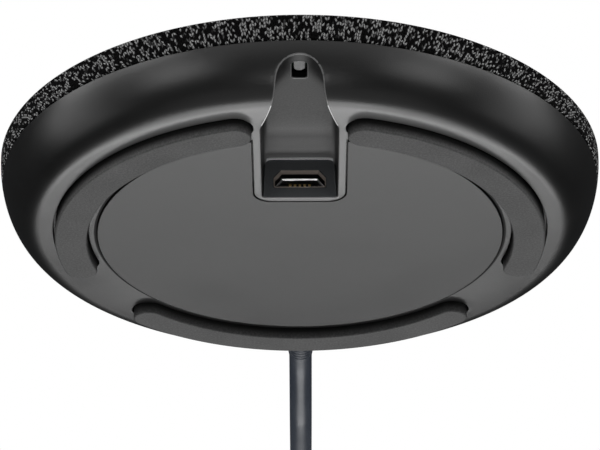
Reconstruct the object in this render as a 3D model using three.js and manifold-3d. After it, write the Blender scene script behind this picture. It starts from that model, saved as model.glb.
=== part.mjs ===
// Round table-top conference speakerphone with a captive USB lead.
// Millimetres, +Z up. The origin is the centre of the underside of the rubber feet, on the table.
// The port recess opens towards -Y and the captive lead leaves towards +Y.
import * as THREE from 'three';
import { mergeVertices } from 'three/addons/utils/BufferGeometryUtils.js';
import Module from 'manifold-3d';

const wasm = await Module();
wasm.setup();

// ---- Driving dimensions ----
const GAP = 0.3; // clearance between pieces that touch

// Outline of the body
const BODY_RADIUS = 51; // widest point
const BELLY_Z = 14.48; // height of the widest point
const BASE_RADIUS = 43.65; // edge of the flat underside
const BASE_Z = 1.87; // height of the flat underside above the table
const DOME_RADIUS = 24.9; // where the shoulder of the top has run out
const DOME_RISE = 6.69; // height of the shoulder above the widest point
const DOME_POWER = 2 / 1.38; // squareness of the shoulder
const DOME_TOP_Z = 21.5; // top of the cover at the control island
const SEAM_Z = 10.15; // fabric cover above, casing below
const SKIN = 0.6; // thickness of the fabric
const FRAME_WALL = 1.6;
const CASING_WALL = 1.7;
const FLOOR_TOP_Z = 5.1; // inner floor of the casing

// Bottom plate, pads and recess
const PLATE_RADIUS = 34.3;
const PLATE_Z = 1.57;
const PLATE_THICK = 1.5;
const PLATE_GAP = 0.25;
const PAD_INNER = 36;
const PAD_OUTER = 41.4;
const PAD_TOP_Z = 3;
const PAD_GAP = 0.35;
const SIDE_PAD_ENDS = [13.8, -74.5]; // end centres, degrees from +X
const REAR_PAD_ENDS = [133.8, 46.2];
const PORT_Y = -14.5; // face of the port wall
const RIM_HALF = 6.25; // half width of the recess at its mouth
const RIM_WIDTH = 1.2; // rim left between the recess and the bottom plate
const RIM_CORNER = 3;
const RIM_Z = 1.62; // underside of the rim, nearly level with the bottom plate
const RIM_BACK_Y = -36;
const RECESS_Z = 8.6; // ceiling of the recess at the port wall
const ARCH_Z = 8.12; // ceiling where the recess meets the outer wall
const ARCH_RADIUS = 3.75;
const HOUSING_Z = 9.9; // top of the walls round the recess
const SHOULDER_Y = -37.2; // the recess narrows from here outwards
const SHOULDER_TAPER = 0.33;
const SHOULDER_EASE = 0.0088;
const SLOT_HALF = 1.27; // retaining slot in the ceiling of the recess
const SLOT_Y = [-47.5, -41.5];
const TONGUE_HALF = 1.05;
const TONGUE_TIP_Y = -44.5;
const TONGUE_Z = [8.25, 9.6];

// Micro USB receptacle
const USB_Z = 5.2; // centre height
const USB_HALF = 4.05;
const USB_HEIGHT = 2.6;
const USB_CHAMFER = 1.1; // across and up
const USB_CHAMFER_HIGH = 1.3;
const USB_WALL = 0.35;
const USB_Y = [-12.1, -7];
const USB_TONGUE_HALF = 2.5;
const PORT_WALL_Y = -11.9; // inner face of the port wall

// Control island
const ISLAND_RADIUS = 19;
const ISLAND_TOP_Z = 22.1;
const WELL_RADIUS = 18.1;
const WELL_FLOOR_Z = [19, 19.8];
const LIGHT_RING = [16.95, 17.8];
const KEY_Z = [20.4, 21.9];
const MUTE_RADIUS = 8.6;
const KEY_RING = [9, 16.6];
const KEY_SPLIT = 0.5; // gap between neighbouring ring keys
const STEM_RADIUS = 1.5;
const STEM_Z = 18.6;
const STEM_AT = 12.8; // radius of the ring keys' stems
const STEM_ROOT = 0.5; // how far a stem runs into its key
const FLANGE_RADIUS = 21.3; // bezel's flange under the frame
const FLANGE_Z = [17.4, 18];
const SKIRT_Z = 16.2;
const BOARD_THICK = 0.8;
const KEY_BOARD_Z = 16.4;
const KEY_BOARD_RADIUS = 17.4;
const SWITCH_TOP_Z = 18.05;

// Electronics, fixings and loudspeaker
const MAIN_BOARD_Z = 6.8;
const MAIN_BOARD_THICK = 1;
const MAIN_BOARD_RADIUS = 27;
const STANDOFF_RADIUS = 1.6;
const BALLAST_RADIUS = 20;
const BALLAST_Z = [5.2, 6.2];
const BALLAST_FRONT_Y = -5.5;
const BOSS_AT = 21.9; // x and y of the four screw bosses
const BOSS_RADIUS = 2.7;
const BOSS_SPLIT_Z = 10.3;
const BOSS_TOP_Z = 18.2;
const SCREW_HOLE = 1.3;
const SCREW_HEAD_RADIUS = 2.1;
const SCREW_RADIUS = 1;
const MIC_AT = 42;
const MIC_HOLE = 0.8;
const MIC_BOARD_Z = 12;
const MIC_BOOT_Z = [13, 14.3];
const MIC_BOOT_RADIUS = 2.4;
const DRIVER_RADIUS = 25.2;
const MAGNET_RADIUS = 8.2;
const COIL_FORMER = [8.8, 9.3]; // inner and outer radius of the voice coil

// Captive lead, strain relief, coil and plug
const CORD = 4.2; // diameter
const EXIT_Z = 6.8;
const RELIEF_END_Y = 56;
const RELIEF_RADII = [2.65, 2.35];
const RELIEF_HOLE = 2.95;
const COIL_CENTRE = [-17, 143];
const COIL_RADII = [14.7, 34.3];
const COIL_Z = [1.1, 9.7];
const PLUG_AT = [36, 137.6]; // where the lead enters the plug
const PLUG_Z = 4.05;
const PLUG_BODY = [15.4, 20, 7.8]; // across, along, high
const PLUG_NECK = 6.5;
const PLUG_SHELL = [12, 12.5, 4.5];
const PLUG_SHELL_WALL = 0.4;
const PLUG_TONGUE_HALF = 5.3;
const PLUG_TONGUE_Z = [-1.6, 0.2]; // from the plug's middle
const TIE_WIDTH = 10;
const TIE_THICK = 0.75;
const TIE_CORNER = 1.6;

// How finely round shapes are divided
const LARGE = 64;
const MEDIUM = 32;
const SMALL = 12;

// ---- Materials ----
function finish(color, roughness, metalness = 0) {
  return () => new THREE.MeshStandardMaterial({ color, roughness, metalness });
}
const casingPlastic = finish(0x3a3b3c, 0.5);
const framePlastic = finish(0x2a2a2b, 0.6);
const keyPlastic = finish(0x1c1c1e, 0.4);
const padRubber = finish(0x4a4a4a, 0.85);
const knit = finish(0x2b2b2c, 0.95);
const lightPlastic = finish(0xe8f0ea, 0.3);
const circuitBoard = finish(0x1d4a2c, 0.5);
const chip = finish(0x161616, 0.5);
const steel = finish(0xb8babd, 0.35, 0.9);
const zinc = finish(0x8a8c8f, 0.45, 0.8);
const paper = finish(0x17181a, 0.8);
const copper = finish(0xb36b3c, 0.4, 0.9);
const cordJacket = finish(0x5f6367, 0.6);
const darkRubber = finish(0x1a1a1b, 0.8);

// ---- Geometry helpers ----
// One closed mesh from any three.js geometry: shared vertices merged, faces turned outwards.
function closed(geometry) {
  const bare = new THREE.BufferGeometry();
  bare.setAttribute('position', geometry.getAttribute('position'));
  bare.setIndex(geometry.getIndex());
  const merged = mergeVertices(bare, 1e-4);
  const source = merged.getIndex().array;
  const place = merged.getAttribute('position');
  const corners = [new THREE.Vector3(), new THREE.Vector3(), new THREE.Vector3()];
  const kept = [];
  let volume = 0;
  for (let i = 0; i < source.length; i += 3) {
    const [a, b, c] = [source[i], source[i + 1], source[i + 2]];
    if (a === b || b === c || c === a) continue;
    kept.push(a, b, c);
    [a, b, c].forEach((v, k) => corners[k].fromBufferAttribute(place, v));
    volume += corners[0].dot(corners[1].cross(corners[2]));
  }
  if (volume < 0) kept.reverse();
  merged.setIndex(kept);
  return merged;
}

function solid(geometry) {
  const merged = closed(geometry);
  return new wasm.Manifold(new wasm.Mesh({
    numProp: 3,
    vertProperties: Float32Array.from(merged.getAttribute('position').array),
    triVerts: Uint32Array.from(merged.getIndex().array),
  }));
}

function fromSolid(manifold) {
  const mesh = manifold.getMesh();
  const geometry = new THREE.BufferGeometry();
  geometry.setAttribute('position', new THREE.BufferAttribute(mesh.vertProperties, 3));
  geometry.setIndex(new THREE.BufferAttribute(mesh.triVerts, 1));
  return geometry;
}

// The base with each geometry in joined added and each in cut taken away.
function carve(base, { joined = [], cut = [] }) {
  let shape = solid(base);
  for (const geometry of joined) shape = shape.add(solid(geometry));
  for (const geometry of cut) shape = shape.subtract(solid(geometry));
  return fromSolid(shape);
}

function shared(one, other) {
  return fromSolid(solid(one).intersect(solid(other)));
}

// A solid of revolution about Z from [radius, z] points that start and end on the axis.
function turned(points, segments = MEDIUM) {
  const profile = points.map(([r, z]) => new THREE.Vector2(r, z));
  return closed(new THREE.LatheGeometry(profile, segments).rotateX(Math.PI / 2));
}

// A ring about Z: the profile closes on itself, away from the axis.
function ring(points, segments = MEDIUM) {
  return turned([...points, points[0]], segments);
}

function band(inner, outer, low, high, segments = MEDIUM) {
  return ring([[inner, low], [outer, low], [outer, high], [inner, high]], segments);
}

function disc(radius, low, high, segments = MEDIUM) {
  return turned([[0, low], [radius, low], [radius, high], [0, high]], segments);
}

function rod(radius, low, high, x = 0, y = 0, segments = SMALL) {
  return disc(radius, low, high, segments).translate(x, y, 0);
}

function block([x0, x1], [y0, y1], [z0, z1]) {
  const box = new THREE.BoxGeometry(x1 - x0, y1 - y0, z1 - z0);
  return box.translate((x0 + x1) / 2, (y0 + y1) / 2, (z0 + z1) / 2);
}

// A flat outline in X and Y, extruded from low to high.
function slab(shape, low, high, curveSegments = 8) {
  const depth = high - low;
  const geometry = new THREE.ExtrudeGeometry(shape, { depth, bevelEnabled: false, curveSegments });
  return closed(geometry.translate(0, 0, low));
}

// An outline drawn in X and Z, extruded along Y.
function along(shape, [y0, y1], curveSegments = 4) {
  return slab(shape, -y1, -y0, curveSegments).rotateX(Math.PI / 2);
}

function roundedRect(width, height, corner) {
  const [w, h] = [width / 2, height / 2];
  const shape = new THREE.Shape();
  shape.moveTo(w - corner, -h);
  shape.absarc(w - corner, -h + corner, corner, -Math.PI / 2, 0);
  shape.absarc(w - corner, h - corner, corner, 0, Math.PI / 2);
  shape.absarc(-w + corner, h - corner, corner, Math.PI / 2, Math.PI);
  shape.absarc(-w + corner, -h + corner, corner, Math.PI, 1.5 * Math.PI);
  return shape;
}

function tube(points, diameter, sides, steps) {
  const knots = points.map((place) => new THREE.Vector3(...place));
  const path = new THREE.CatmullRomCurve3(knots, false, 'centripetal');
  const section = new THREE.Shape();
  for (let i = 0; i < sides; i += 1) {
    const angle = ((i + 0.5) / sides) * 2 * Math.PI;
    section[i ? 'lineTo' : 'moveTo']((diameter / 2) * Math.cos(angle), (diameter / 2) * Math.sin(angle));
  }
  return closed(new THREE.ExtrudeGeometry(section, { steps, extrudePath: path, bevelEnabled: false }));
}

const radians = THREE.MathUtils.degToRad;
const polar = (radius, angle) => [radius * Math.cos(angle), radius * Math.sin(angle)];

// ---- The body's outline, as [radius, z] ----
const bellyAngle = (z) => Math.asin((BELLY_Z - z) / (BELLY_Z - BASE_Z));

function bellyPoint(angle) {
  return [
    BASE_RADIUS + (BODY_RADIUS - BASE_RADIUS) * Math.cos(angle),
    BELLY_Z - (BELLY_Z - BASE_Z) * Math.sin(angle),
  ];
}

function shoulderPoint(angle) {
  return [
    DOME_RADIUS + (BODY_RADIUS - DOME_RADIUS) * Math.cos(angle) ** DOME_POWER,
    BELLY_Z + DOME_RISE * Math.sin(angle) ** DOME_POWER,
  ];
}

function stretch(point, from, to, steps) {
  return Array.from({ length: steps + 1 }, (_, i) => point(from + ((to - from) * i) / steps));
}

// The top's outline from a height below the widest point, over the shoulder, to a radius near the island.
function topOutline(lowZ, endRadius) {
  return [
    ...stretch(bellyPoint, bellyAngle(lowZ), 0, 2),
    ...stretch(shoulderPoint, 0, Math.PI / 2, 6).slice(1),
    [endRadius, DOME_TOP_Z],
  ];
}

// The outline moved sideways by distance, to its left as it runs.
function inset(points, distance) {
  return points.map(([r, z], i) => {
    const [r0, z0] = points[Math.max(i - 1, 0)];
    const [r1, z1] = points[Math.min(i + 1, points.length - 1)];
    const length = Math.hypot(r1 - r0, z1 - z0);
    return [r - ((z1 - z0) / length) * distance, z + ((r1 - r0) / length) * distance];
  });
}

const model = new THREE.Group();

function add(name, geometry, material, parent = model) {
  const mesh = new THREE.Mesh(geometry, material());
  mesh.name = name;
  parent.add(mesh);
  return mesh;
}

// ---- Pads: curved strips with round ends ----
function padOutline([from, to], grow) {
  const [inner, outer] = [PAD_INNER - grow, PAD_OUTER + grow];
  const [middle, cap] = [(inner + outer) / 2, (outer - inner) / 2];
  const [a, b] = [radians(from), radians(to)];
  const shape = new THREE.Shape();
  shape.moveTo(...polar(outer, a));
  shape.absarc(0, 0, outer, a, b, true);
  shape.absarc(...polar(middle, b), cap, b, b - Math.PI, true);
  shape.absarc(0, 0, inner, b, a, false);
  shape.absarc(...polar(middle, a), cap, a - Math.PI, a - 2 * Math.PI, true);
  return shape;
}
const padEnds = {
  foot_pad_right: SIDE_PAD_ENDS,
  foot_pad_left: SIDE_PAD_ENDS.map((end) => 180 - end).reverse(),
  foot_pad_rear: REAR_PAD_ENDS,
};

// ---- Port recess: a box at the port wall that turns into a round arch at the outer wall ----
function recessHalf(y) {
  const past = Math.max(SHOULDER_Y - y, 0);
  return RIM_HALF - SHOULDER_TAPER * past + SHOULDER_EASE * past * past;
}

function recessSection(y) {
  const reach = THREE.MathUtils.smoothstep(-y, 28, 47);
  const half = Math.max(recessHalf(y), ARCH_RADIUS);
  const low = THREE.MathUtils.lerp(BASE_Z, ARCH_Z - ARCH_RADIUS, reach);
  const top = THREE.MathUtils.mapLinear(y, PORT_Y, -50, RECESS_Z, ARCH_Z);
  const roundness = 2 / THREE.MathUtils.lerp(8, 2, reach);
  const steps = 12;
  const section = [[half, y, -1]];
  for (let i = 0; i <= steps; i += 1) {
    const angle = (Math.PI * i) / steps;
    const [c, s] = [Math.cos(angle), Math.sin(angle)];
    section.push([
      half * Math.sign(c) * Math.abs(c) ** roundness,
      y,
      low + (top - low) * Math.abs(s) ** roundness,
    ]);
  }
  section.push([-half, y, -1]);
  return section;
}

// A closed skin over a row of sections that all have the same number of points.
function loft(sections) {
  const count = sections[0].length;
  const positions = sections.flat(2);
  const index = [];
  for (let s = 0; s < sections.length - 1; s += 1) {
    for (let i = 0; i < count; i += 1) {
      const [a, b] = [s * count + i, s * count + ((i + 1) % count)];
      index.push(a, b, a + count, b, b + count, a + count);
    }
  }
  const last = (sections.length - 1) * count;
  for (let i = 1; i < count - 1; i += 1) {
    index.push(0, i + 1, i, last, last + i, last + i + 1);
  }
  const geometry = new THREE.BufferGeometry();
  geometry.setAttribute('position', new THREE.Float32BufferAttribute(positions, 3));
  geometry.setIndex(index);
  return closed(geometry);
}
const recessStations = [PORT_Y, -28, -33, SHOULDER_Y, -39, -41, -43, -45, -47, -49, -52];
const recess = loft(recessStations.map(recessSection));

// The rim round the recess, and the notch that it needs in the bottom plate.
function rimOutline(grow) {
  const half = RIM_HALF + RIM_WIDTH + grow;
  const nearest = PORT_Y + RIM_WIDTH + grow;
  const corner = RIM_CORNER;
  const shape = new THREE.Shape();
  shape.moveTo(-half, RIM_BACK_Y);
  shape.lineTo(half, RIM_BACK_Y);
  shape.lineTo(half, nearest - corner);
  shape.absarc(half - corner, nearest - corner, corner, 0, Math.PI / 2);
  shape.absarc(-half + corner, nearest - corner, corner, Math.PI / 2, Math.PI);
  return shape;
}

// The receptacle's outline, its upper corners cut off.
function usbOutline(grow) {
  const half = USB_HALF + grow;
  const low = USB_Z - USB_HEIGHT / 2 - grow;
  const high = USB_Z + USB_HEIGHT / 2 + grow;
  const shape = new THREE.Shape();
  shape.moveTo(-half, low);
  shape.lineTo(half, low);
  shape.lineTo(half, high - USB_CHAMFER_HIGH);
  shape.lineTo(half - USB_CHAMFER, high);
  shape.lineTo(-half + USB_CHAMFER, high);
  shape.lineTo(-half, high - USB_CHAMFER_HIGH);
  return shape;
}

// ---- Lower casing ----
const plateTop = PLATE_Z + PLATE_THICK;
const bossPlaces = [[1, 1], [-1, 1], [-1, -1], [1, -1]].map(([x, y]) => [x * BOSS_AT, y * BOSS_AT]);

function casingShell() {
  const pocket = PLATE_RADIUS + PLATE_GAP;
  const pocketZ = plateTop + GAP;
  const outer = stretch(bellyPoint, Math.PI / 2, bellyAngle(SEAM_Z - 0.15), 7);
  const inner = inset(outer, CASING_WALL).filter(([, z]) => z > FLOOR_TOP_Z).reverse();
  const last = outer[outer.length - 1];
  return turned([
    [0, pocketZ],
    [pocket, pocketZ],
    [pocket, BASE_Z],
    ...outer,
    [last[0] - CASING_WALL, last[1]],
    ...inner.slice(1),
    [inner[inner.length - 1][0] - 1.2, FLOOR_TOP_Z],
    [0, FLOOR_TOP_Z],
  ], LARGE);
}

// Everything a little inside the casing's outer surface.
function insideWall() {
  const outline = inset(stretch(bellyPoint, Math.PI / 2, bellyAngle(SEAM_Z), 6), 0.5);
  return turned([[0, BASE_Z + 0.5], ...outline, [0, SEAM_Z]], LARGE);
}

function lowerCasing() {
  const housing = RIM_HALF + CASING_WALL;
  const rim = slab(rimOutline(0), RIM_Z, FLOOR_TOP_Z - 0.5, 6);
  const housingZ = [plateTop + GAP, HOUSING_Z];
  const housingBlock = block([-housing, housing], [-BODY_RADIUS, PORT_WALL_Y], housingZ);
  const walls = shared(housingBlock, insideWall());
  const slot = block([-SLOT_HALF, SLOT_HALF], SLOT_Y, [ARCH_Z - 1.5, HOUSING_Z + 1]);
  const tongueEnd = TONGUE_TIP_Y - TONGUE_HALF;
  const tongue = [
    block([-TONGUE_HALF, TONGUE_HALF], [SLOT_Y[0] - 0.3, tongueEnd], TONGUE_Z),
    rod(TONGUE_HALF, ...TONGUE_Z, 0, tongueEnd),
  ];
  const port = along(usbOutline(GAP), [PORT_Y - 1, PORT_WALL_Y + 1]);
  const bay = block([-USB_HALF - 0.45, USB_HALF + 0.45], [PORT_WALL_Y, USB_Y[1] + 0.5], [3, 6]);
  const reliefHole = rod(RELIEF_HOLE, -52, -43.5).rotateX(Math.PI / 2).translate(0, 0, EXIT_Z);
  const standoffs = [[23.5, -4], [-23.5, -4], [17, 17], [-17, 17]]
    .map(([x, y]) => rod(STANDOFF_RADIUS, FLOOR_TOP_Z - 1, MAIN_BOARD_Z - GAP, x, y));
  const channels = Object.values(padEnds)
    .map((ends) => slab(padOutline(ends, PAD_GAP), 0, PAD_TOP_Z + GAP));
  const bosses = bossPlaces.map(([x, y]) => rod(BOSS_RADIUS, FLOOR_TOP_Z - 1, BOSS_SPLIT_Z, x, y));
  const screwHoles = bossPlaces.flatMap(([x, y]) => [
    rod(SCREW_HOLE, 3, BOSS_SPLIT_Z + 1, x, y),
    rod(SCREW_HEAD_RADIUS + 0.35, 3, 4.5, x, y),
  ]);
  const hollow = carve(casingShell(), {
    joined: [rim, walls, ...standoffs, ...bosses],
    cut: [recess, slot, port, bay, reliefHole, ...channels, ...screwHoles],
  });
  return carve(hollow, { joined: tongue });
}
add('lower_casing', lowerCasing(), casingPlastic);

add('bottom_plate', carve(disc(PLATE_RADIUS, PLATE_Z, plateTop, LARGE), {
  cut: [slab(rimOutline(PLATE_GAP), 0, plateTop + 1, 6)],
}), casingPlastic);

for (const [name, ends] of Object.entries(padEnds)) {
  add(name, slab(padOutline(ends, 0), 0, PAD_TOP_Z), padRubber);
}

// ---- Screws, from under the bottom plate up into the frame ----
const screwShape = turned([
  [0, 3.9], [0.7, 3.5], [SCREW_HEAD_RADIUS, 3.5], [SCREW_HEAD_RADIUS, 4.2],
  [SCREW_RADIUS, 4.6], [SCREW_RADIUS, 15], [0, 15.4],
], SMALL);
bossPlaces.forEach(([x, y], i) => {
  add(`casing_screw_${i + 1}`, screwShape, steel).position.set(x, y, 0);
});

// ---- Fabric cover and the frame that carries it ----
const coverOuter = topOutline(SEAM_Z + 0.1, ISLAND_RADIUS + 0.4);
add('fabric_cover', ring([...coverOuter, ...inset(coverOuter, SKIN).reverse()], LARGE), knit);

function grilleFrame() {
  const outline = topOutline(SEAM_Z + 0.5, ISLAND_RADIUS + 0.4);
  const outer = inset(outline, SKIN + GAP);
  const inner = inset(outline, SKIN + GAP + FRAME_WALL).reverse();
  const shell = ring([...outer, ...inner], 48);
  const bosses = bossPlaces.map(([x, y]) => carve(rod(BOSS_RADIUS, BOSS_SPLIT_Z + GAP, BOSS_TOP_Z, x, y), {
    cut: [rod(SCREW_HOLE, BOSS_SPLIT_Z - 1, 16, x, y)],
  }));
  const collar = band(DRIVER_RADIUS + 0.4, DRIVER_RADIUS + 1.6, 14.2, 19);
  const slots = Array.from({ length: 12 }, (_, i) => (
    block([20.6, 24.8], [-1.8, 1.8], [15, 24]).rotateZ((i * Math.PI) / 6)
  ));
  const micHoles = micAngles.map((angle) => rod(MIC_HOLE, MIC_BOARD_Z, 22, ...polar(MIC_AT, angle), 6));
  return carve(shell, { joined: [collar, ...bosses], cut: [...slots, ...micHoles] });
}
const micAngles = [0, 1, 2, 3].map((quarter) => (quarter * Math.PI) / 2);
add('grille_frame', grilleFrame(), framePlastic);

// ---- Control island ----
const stemPlaces = [[0, 0], ...[0, 1, 2, 3].map((quarter) => polar(STEM_AT, (quarter * Math.PI) / 2))];

function controlBezel() {
  const [floorLow, floorHigh] = WELL_FLOOR_Z;
  const cup = turned([
    [0, floorLow], [WELL_RADIUS - 0.3, floorLow], [WELL_RADIUS - 0.3, SKIRT_Z], [ISLAND_RADIUS, SKIRT_Z],
    [ISLAND_RADIUS, FLANGE_Z[0]], [FLANGE_RADIUS, FLANGE_Z[0]], [FLANGE_RADIUS, FLANGE_Z[1]],
    [ISLAND_RADIUS, FLANGE_Z[1]],
    [ISLAND_RADIUS, ISLAND_TOP_Z - 0.4], [ISLAND_RADIUS - 0.4, ISLAND_TOP_Z],
    [WELL_RADIUS, ISLAND_TOP_Z], [WELL_RADIUS, floorHigh], [0, floorHigh],
  ]);
  return carve(cup, {
    cut: stemPlaces.map(([x, y]) => rod(STEM_RADIUS + GAP, floorLow - 1, floorHigh + 1, x, y)),
  });
}
add('control_bezel', controlBezel(), keyPlastic);
add('light_ring', band(...LIGHT_RING, WELL_FLOOR_Z[1] + GAP, 21.8), lightPlastic);

const muteKey = turned([
  [0, KEY_Z[0]], [MUTE_RADIUS, KEY_Z[0]], [MUTE_RADIUS, KEY_Z[1] - 0.3],
  [MUTE_RADIUS - 0.4, KEY_Z[1]], [0, KEY_Z[1] - 0.2],
]);
add('mute_key', carve(muteKey, { joined: [rod(STEM_RADIUS, STEM_Z, KEY_Z[0] + STEM_ROOT)] }), keyPlastic);

// A quarter of the key ring, centred on +X, its sides parallel to the gaps on the diagonals.
function quarterKey() {
  const [inner, outer] = KEY_RING;
  const side = (radius) => Math.PI / 4 - Math.asin(KEY_SPLIT / 2 / radius);
  const shape = new THREE.Shape();
  shape.absarc(0, 0, outer, -side(outer), side(outer), false);
  shape.absarc(0, 0, inner, side(inner), -side(inner), true);
  const cap = slab(shape, ...KEY_Z, 8);
  return carve(cap, { joined: [rod(STEM_RADIUS, STEM_Z, KEY_Z[0] + STEM_ROOT, STEM_AT, 0)] });
}
const quarter = quarterKey();
['end_key', 'volume_up_key', 'call_key', 'volume_down_key'].forEach((name, i) => {
  add(name, quarter, keyPlastic).rotation.z = (i * Math.PI) / 2;
});

const keyBoardTop = KEY_BOARD_Z + BOARD_THICK;
add('key_board', disc(KEY_BOARD_RADIUS, KEY_BOARD_Z, keyBoardTop), circuitBoard);
const switchNames = ['mute', 'end', 'volume_up', 'call', 'volume_down'];
stemPlaces.forEach(([x, y], i) => {
  const dome = turned([
    [0, keyBoardTop + 0.1], [2.2, keyBoardTop + 0.1], [2.2, keyBoardTop + 0.5],
    [1.2, SWITCH_TOP_Z], [0, SWITCH_TOP_Z],
  ], SMALL);
  add(`${switchNames[i]}_switch`, dome, steel).position.set(x, y, 0);
});

// ---- Loudspeaker ----
const driver = new THREE.Group();
model.add(driver);
add('driver_basket', ring([
  [11.8, 10.2], [12.6, 10.2], [13.8, 11.2], [23.6, 14.2], [DRIVER_RADIUS, 14.2],
  [DRIVER_RADIUS, 15.2], [22.9, 15.2], [22.9, 14.9], [13.2, 12], [11.8, 11],
]), zinc, driver);
add('driver_pot', turned([
  [0, 8.2], [11.5, 8.2], [11.5, 12], [9.8, 12], [9.8, 9.4], [0, 9.4],
]), steel, driver);
add('driver_magnet', disc(MAGNET_RADIUS, 9.6, 10.9), steel, driver);
add('driver_top_plate', disc(MAGNET_RADIUS, 11.1, 12), steel, driver);
add('driver_surround', ring([
  [18.5, 14.9], [19.4, 15.2], [20.5, 15.5], [21.6, 15.2], [22.6, 14.9],
  [22.6, 15.3], [21.8, 15.7], [20.5, 15.95], [19.2, 15.7], [18.5, 15.3],
]), darkRubber, driver);
const diaphragm = new THREE.Group();
driver.add(diaphragm);
add('voice_coil', band(...COIL_FORMER, 10, 13.1), copper, diaphragm);
add('driver_cone', ring([
  [8.6, 13.3], [9.8, 13.3], [18.2, 14.9], [18.2, 15.3], [8.6, 13.8],
]), paper, diaphragm);
add('dust_cap', turned([
  [0, 14.3], [3.2, 14.15], [6, 13.75], [8.2, 13.2], [8.2, 13.6], [6, 14.2], [3.2, 14.6], [0, 14.75],
]), paper, diaphragm);

// ---- Electronics ----
const boardTop = MAIN_BOARD_Z + MAIN_BOARD_THICK;
const chipLow = boardTop + 0.1;
const boardFront = PORT_WALL_Y + GAP;
add('main_board', carve(disc(MAIN_BOARD_RADIUS, MAIN_BOARD_Z, boardTop), {
  cut: [block([-30, 30], [-30, boardFront], [0, 12])],
}), circuitBoard);
add('ballast_plate', carve(disc(BALLAST_RADIUS, ...BALLAST_Z), {
  cut: [block([-30, 30], [-30, BALLAST_FRONT_Y], [0, 12])],
}), zinc);
add('processor_shield', block([-25, -16.8], [-6, 6], [chipLow, boardTop + 1.7]), steel);
add('amplifier_chip', block([17.5, 23.5], [-3, 3], [chipLow, boardTop + 1.2]), chip);
add('codec_chip', block([13.5, 18.5], [9, 14], [chipLow, boardTop + 1.1]), chip);
add('lead_header', block([-4, 4], [20, 25], [chipLow, boardTop + 2.6]), lightPlastic);

const shellBack = USB_Y[1];
add('usb_shell', carve(along(usbOutline(0), [USB_Y[0], shellBack]), {
  cut: [along(usbOutline(-USB_WALL), [USB_Y[0] - 1, shellBack - 0.4])],
}), steel);
const blockHalf = USB_TONGUE_HALF + 0.2;
const tongueBlock = block(
  [-blockHalf, blockHalf],
  [shellBack - 1.9, shellBack - 0.7],
  [USB_Z - 0.9, USB_Z + 0.5],
);
const tongueBlade = block(
  [-USB_TONGUE_HALF, USB_TONGUE_HALF],
  [USB_Y[0] + 0.6, shellBack - 1],
  [USB_Z - 0.4, USB_Z + 0.2],
);
add('usb_tongue', carve(tongueBlock, { joined: [tongueBlade] }), chip);

micAngles.forEach((angle, i) => {
  const stand = new THREE.Group();
  stand.rotation.z = angle;
  model.add(stand);
  const boardZ = [MIC_BOARD_Z, MIC_BOARD_Z + BOARD_THICK];
  add(`mic_board_${i + 1}`, block([MIC_AT - 2.5, MIC_AT + 2.5], [-3.5, 3.5], boardZ), circuitBoard, stand);
  const boot = band(MIC_HOLE, MIC_BOOT_RADIUS, ...MIC_BOOT_Z, SMALL).translate(MIC_AT, 0, 0);
  add(`mic_boot_${i + 1}`, boot, darkRubber, stand);
});

// ---- Captive lead ----
const insideLead = [[0, 44.4, EXIT_Z], [0, 40, 7.3], [0, 34, 9], [0, 29.5, 9.3], [0, 25.3, 9.3]];
add('inner_lead', tube(insideLead, 2.4, 8, 10), cordJacket);

const [nearRadius, farRadius] = RELIEF_RADII;
const sleeve = turned([
  [0, 44.7], [nearRadius, 44.7], [nearRadius, 50.5], [farRadius, RELIEF_END_Y], [0, RELIEF_END_Y],
], SMALL).rotateX(-Math.PI / 2).translate(0, 0, EXIT_Z);
add('strain_relief', carve(sleeve, {
  joined: [block([-3.6, 3.6], [44.7, 45.7], [FLOOR_TOP_Z + GAP, 9.8])],
}), darkRubber);

const leadRoute = [
  [0, 56.3, 6.8], [0, 60, 6.5], [0, 63.5, 5.65], [0, 66.8, 4.45], [0, 70.2, 3.2], [0, 73.7, 2.4],
  [0, 77.5, 2.15], [0, 84, 2.15], [0, 92, 2.15], [0, 101, 2.15], [0.45, 106.4, 2.35], [1.7, 111.8, 2.75],
];
add('cord_lead', tube(leadRoute, CORD, 8, 14), cordJacket);
const [coilInner, coilOuter] = COIL_RADII;
add('cord_coil', band(coilInner, coilOuter, ...COIL_Z).translate(...COIL_CENTRE, 0), cordJacket);
const tailRoute = [
  [0.8, 110.9, 7.5], [6, 110.9, 6.95], [11, 111.2, 5.6], [16, 112.3, 3.9], [21, 114.3, 2.65],
  [25.8, 117.3, 2.15], [30, 121.2, 2.15], [33.1, 125.6, 2.5], [35.2, 130.6, 3.3], [35.9, 134.2, 3.8],
  [36, 137.2, PLUG_Z],
];
add('cord_tail', tube(tailRoute, CORD, 8, 14), cordJacket);

const tieAt = [[COIL_CENTRE[1] + coilInner - 2, COIL_CENTRE[1] + coilOuter + 1.1], [0.05, 10.75]];
const tieMiddle = tieAt.map(([low, high]) => (low + high) / 2);
const tieSize = tieAt.map(([low, high]) => high - low);
const tieInner = tieSize.map((size) => size - 2 * TIE_THICK);
const tieShape = new THREE.Shape(roundedRect(...tieSize, TIE_CORNER).getPoints(3));
tieShape.holes.push(new THREE.Path(roundedRect(...tieInner, TIE_CORNER - 0.7).getPoints(3)));
const tie = slab(tieShape, -TIE_WIDTH / 2, TIE_WIDTH / 2).rotateX(Math.PI / 2).rotateZ(Math.PI / 2);
add('cord_tie', tie.translate(COIL_CENTRE[0], tieMiddle[0], tieMiddle[1]), darkRubber);

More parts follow.
